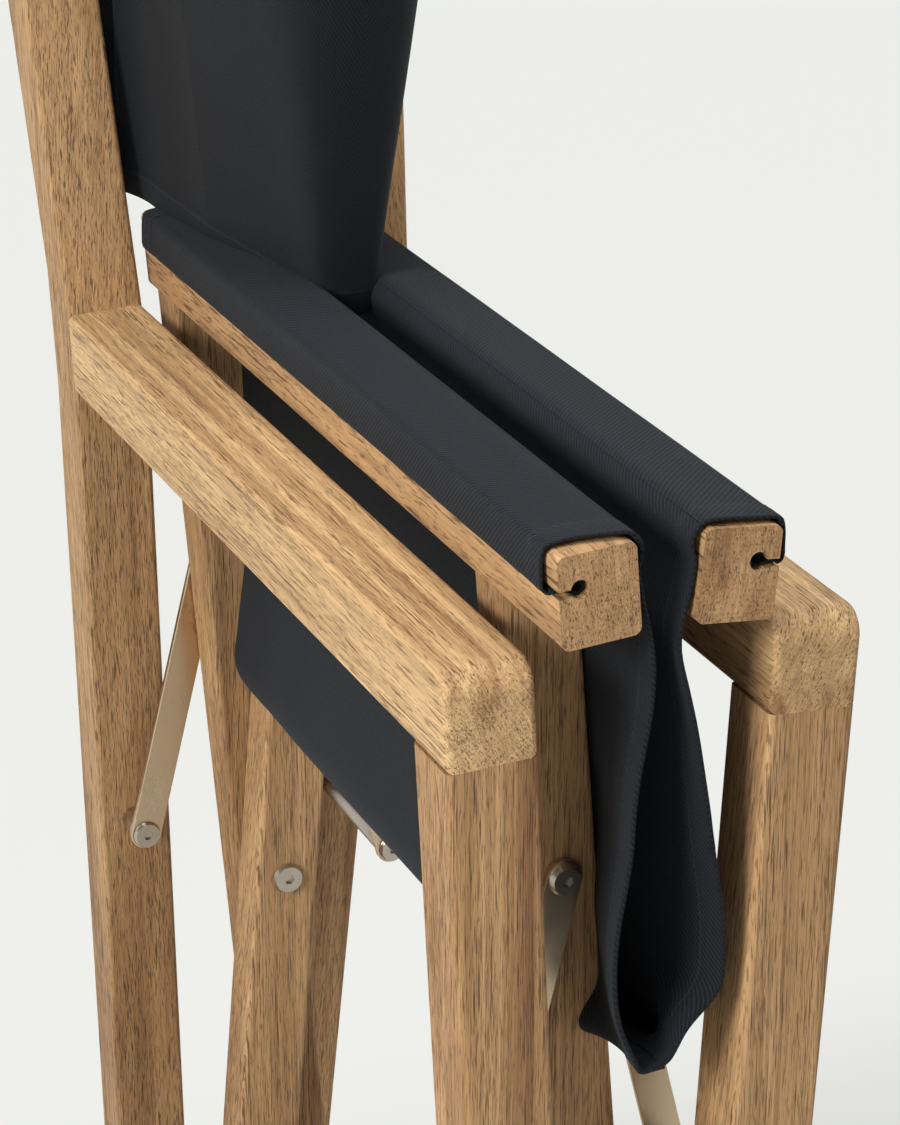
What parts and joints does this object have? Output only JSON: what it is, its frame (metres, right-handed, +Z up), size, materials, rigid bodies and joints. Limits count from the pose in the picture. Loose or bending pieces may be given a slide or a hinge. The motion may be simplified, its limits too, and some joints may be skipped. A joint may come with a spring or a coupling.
{
  "type": "folding director chair",
  "caption": "Folding director chair, stored folded: two wooden side frames with armrests, crossed seat frames, steel links and a hung seat and back of dark cloth.",
  "frame": {"origin": "on the floor, at the middle of the folded chair's box", "axes": "+Z up, front of the chair towards -Y, +X to the right as seen from the front"},
  "size_m": [0.1882, 0.5492, 0.8997],
  "materials": {
    "wood": "brushed open grain, oiled matt",
    "dowel_wood": "plain turned",
    "cloth": "close diagonal weave, matt",
    "steel": "satin stainless",
    "rod": "smooth",
    "glide": "fine matt"
  },
  "bodies": {
    "glides_left": {"glides_left": "glide"},
    "glides_right": {"glides_right": "glide"},
    "frame_left": {"front_leg_left": "wood", "armrest_left": "wood", "rear_post_left": "wood", "arm_dowels_left": "dowel_wood", "glide_pins_left": "steel", "standoffs_left": "steel", "link_bolts_left": "steel", "back_rod_left": "rod", "back_wrap_left": "cloth"},
    "link_front_left": {"link_front_left": "steel", "link_cap_front_left": "steel"},
    "link_rear_left": {"link_rear_left": "steel", "link_cap_rear_left": "steel"},
    "seat_band_left": {"seat_band_left": "cloth"},
    "seat_panel_left": {"seat_panel_left": "cloth"},
    "seat_strip_left": {"seat_strip_left": "cloth"},
    "back_panel_left": {"back_panel_left": "cloth"},
    "back_strip_left": {"back_strip_left": "cloth"},
    "frame_right": {"front_leg_right": "wood", "armrest_right": "wood", "rear_post_right": "wood", "arm_dowels_right": "dowel_wood", "glide_pins_right": "steel", "standoffs_right": "steel", "link_bolts_right": "steel", "back_rod_right": "rod", "back_wrap_right": "cloth"},
    "link_front_right": {"link_front_right": "steel", "link_cap_front_right": "steel"},
    "link_rear_right": {"link_rear_right": "steel", "link_cap_rear_right": "steel"},
    "seat_band_right": {"seat_band_right": "cloth"},
    "seat_panel_right": {"seat_panel_right": "cloth"},
    "seat_strip_right": {"seat_strip_right": "cloth"},
    "back_panel_right": {"back_panel_right": "cloth"},
    "back_strip_right": {"back_strip_right": "cloth"},
    "seat_frame_a": {"x_leg_front_a": "wood", "x_leg_rear_a": "wood", "seat_rail_left": "wood", "frame_dowels_a": "dowel_wood", "bottom_bar_a": "wood", "bar_pins_a": "steel", "seat_rod_left": "rod", "seat_wrap_left": "cloth"},
    "seat_frame_b": {"x_leg_front_b": "wood", "x_leg_rear_b": "wood", "seat_rail_right": "wood", "frame_dowels_b": "dowel_wood", "bottom_bar_b": "wood", "bar_pins_b": "steel", "seat_rod_right": "rod", "seat_wrap_right": "cloth", "pivot_bolt_front": "steel", "pivot_bolt_rear": "steel", "pivot_nuts": "steel", "pivot_spacers": "steel"}
  },
  "joints": [
    {"name": "left_tilt", "type": "hinge", "parent": "glides_left", "child": "frame_left", "pos_m": [-0.02953, -0.06659, 0.014], "axis": [0, 1, 0], "range_deg": [0, 3.05]},
    {"name": "left_lower", "type": "hinge", "parent": "frame_left", "child": "seat_frame_b", "pos_m": [-0.03059, -0.06659, 0.03397], "axis": [0, 1, 0], "range_deg": [0, 41.45]},
    {"name": "fold", "type": "hinge", "parent": "seat_frame_b", "child": "seat_frame_a", "pos_m": [0, -0.06659, 0.40016], "axis": [0, -1, 0], "range_deg": [0, 89], "deforming": ["back_panel_left", "back_panel_right", "back_strip_left", "back_strip_right", "back_wrap_left", "back_wrap_right", "seat_band_left", "seat_band_right", "seat_panel_left", "seat_panel_right", "seat_strip_left", "seat_strip_right", "seat_wrap_left", "seat_wrap_right"]},
    {"name": "right_lower", "type": "hinge", "parent": "seat_frame_a", "child": "frame_right", "pos_m": [0.03059, -0.06659, 0.03397], "axis": [0, 1, 0], "range_deg": [0, 41.45]},
    {"name": "right_tilt", "type": "hinge", "parent": "frame_right", "child": "glides_right", "pos_m": [0.02953, -0.06659, 0.014], "axis": [0, 1, 0], "range_deg": [0, 3.05]},
    {"name": "link_front_left_pivot", "type": "hinge", "parent": "frame_left", "child": "link_front_left", "pos_m": [-0.05151, -0.06659, 0.40777], "axis": [0, 1, 0], "range_deg": [0, 83.5]},
    {"name": "link_rear_left_pivot", "type": "hinge", "parent": "frame_left", "child": "link_rear_left", "pos_m": [-0.05151, -0.06659, 0.40777], "axis": [0, 1, 0], "range_deg": [0, 83.5]},
    {"name": "link_front_right_pivot", "type": "hinge", "parent": "frame_right", "child": "link_front_right", "pos_m": [0.05151, -0.06659, 0.40777], "axis": [0, 1, 0], "range_deg": [-83.5, 0]},
    {"name": "link_rear_right_pivot", "type": "hinge", "parent": "frame_right", "child": "link_rear_right", "pos_m": [0.05151, -0.06659, 0.40777], "axis": [0, 1, 0], "range_deg": [-83.5, 0]},
    {"name": "seat_band_left_bend", "type": "hinge", "parent": "seat_frame_a", "child": "seat_band_left", "pos_m": [-0.01272, -0.06659, 0.71821], "axis": [0, 1, 0], "range_deg": [-38.5, 0]},
    {"name": "seat_panel_left_bend", "type": "hinge", "parent": "seat_band_left", "child": "seat_panel_left", "pos_m": [-0.0076, -0.06659, 0.67652], "axis": [0, 1, 0], "range_deg": [-7.13, 0]},
    {"name": "seat_strip_left_bend", "type": "hinge", "parent": "seat_panel_left", "child": "seat_strip_left", "pos_m": [-0.008, -0.06659, 0.49453], "axis": [0, 1, 0], "range_deg": [0, 90.13]},
    {"name": "seat_band_right_bend", "type": "hinge", "parent": "seat_frame_b", "child": "seat_band_right", "pos_m": [0.01272, -0.06659, 0.71821], "axis": [0, 1, 0], "range_deg": [0, 38.5]},
    {"name": "seat_panel_right_bend", "type": "hinge", "parent": "seat_band_right", "child": "seat_panel_right", "pos_m": [0.0076, -0.06659, 0.67652], "axis": [0, 1, 0], "range_deg": [0, 7.13]},
    {"name": "seat_strip_right_bend", "type": "hinge", "parent": "seat_panel_right", "child": "seat_strip_right", "pos_m": [0.008, -0.06659, 0.49453], "axis": [0, 1, 0], "range_deg": [-90.13, 0]},
    {"name": "back_panel_left_bend", "type": "hinge", "parent": "frame_left", "child": "back_panel_left", "pos_m": [-0.05324, 0.22633, 0.81037], "axis": [-0.1485, 0.0662, 0.9867], "range_deg": [0, 85.66]},
    {"name": "back_strip_left_bend", "type": "hinge", "parent": "back_panel_left", "child": "back_strip_left", "pos_m": [-0.034, 0.0014, 0.80644], "axis": [0.0082, 0.0099, -0.9999], "range_deg": [0, 85.12]},
    {"name": "back_panel_right_bend", "type": "hinge", "parent": "frame_right", "child": "back_panel_right", "pos_m": [0.05324, 0.22633, 0.81037], "axis": [-0.1485, -0.0662, -0.9867], "range_deg": [0, 85.66]},
    {"name": "back_strip_right_bend", "type": "hinge", "parent": "back_panel_right", "child": "back_strip_right", "pos_m": [0.034, 0.0014, 0.80644], "axis": [0.0082, -0.0099, 0.9999], "range_deg": [0, 85.12]}
  ],
  "couplings": [
    {"joint": "left_tilt", "follows": "fold", "ratio": 0.03427},
    {"joint": "left_lower", "follows": "fold", "ratio": 0.46573},
    {"joint": "right_lower", "follows": "fold", "ratio": 0.46573},
    {"joint": "right_tilt", "follows": "fold", "ratio": 0.03427},
    {"joint": "link_front_left_pivot", "follows": "fold", "ratio": 0.93818},
    {"joint": "link_rear_left_pivot", "follows": "fold", "ratio": 0.93818},
    {"joint": "link_front_right_pivot", "follows": "fold", "ratio": -0.93818},
    {"joint": "link_rear_right_pivot", "follows": "fold", "ratio": -0.93818},
    {"joint": "seat_band_left_bend", "follows": "fold", "ratio": -0.43258},
    {"joint": "seat_panel_left_bend", "follows": "fold", "ratio": -0.080049},
    {"joint": "seat_strip_left_bend", "follows": "fold", "ratio": 1.0126},
    {"joint": "seat_band_right_bend", "follows": "fold", "ratio": 0.43258},
    {"joint": "seat_panel_right_bend", "follows": "fold", "ratio": 0.080049},
    {"joint": "seat_strip_right_bend", "follows": "fold", "ratio": -1.0126},
    {"joint": "back_panel_left_bend", "follows": "fold", "ratio": 0.96248},
    {"joint": "back_strip_left_bend", "follows": "fold", "ratio": 0.95636},
    {"joint": "back_panel_right_bend", "follows": "fold", "ratio": 0.96248},
    {"joint": "back_strip_right_bend", "follows": "fold", "ratio": 0.95636}
  ]
}
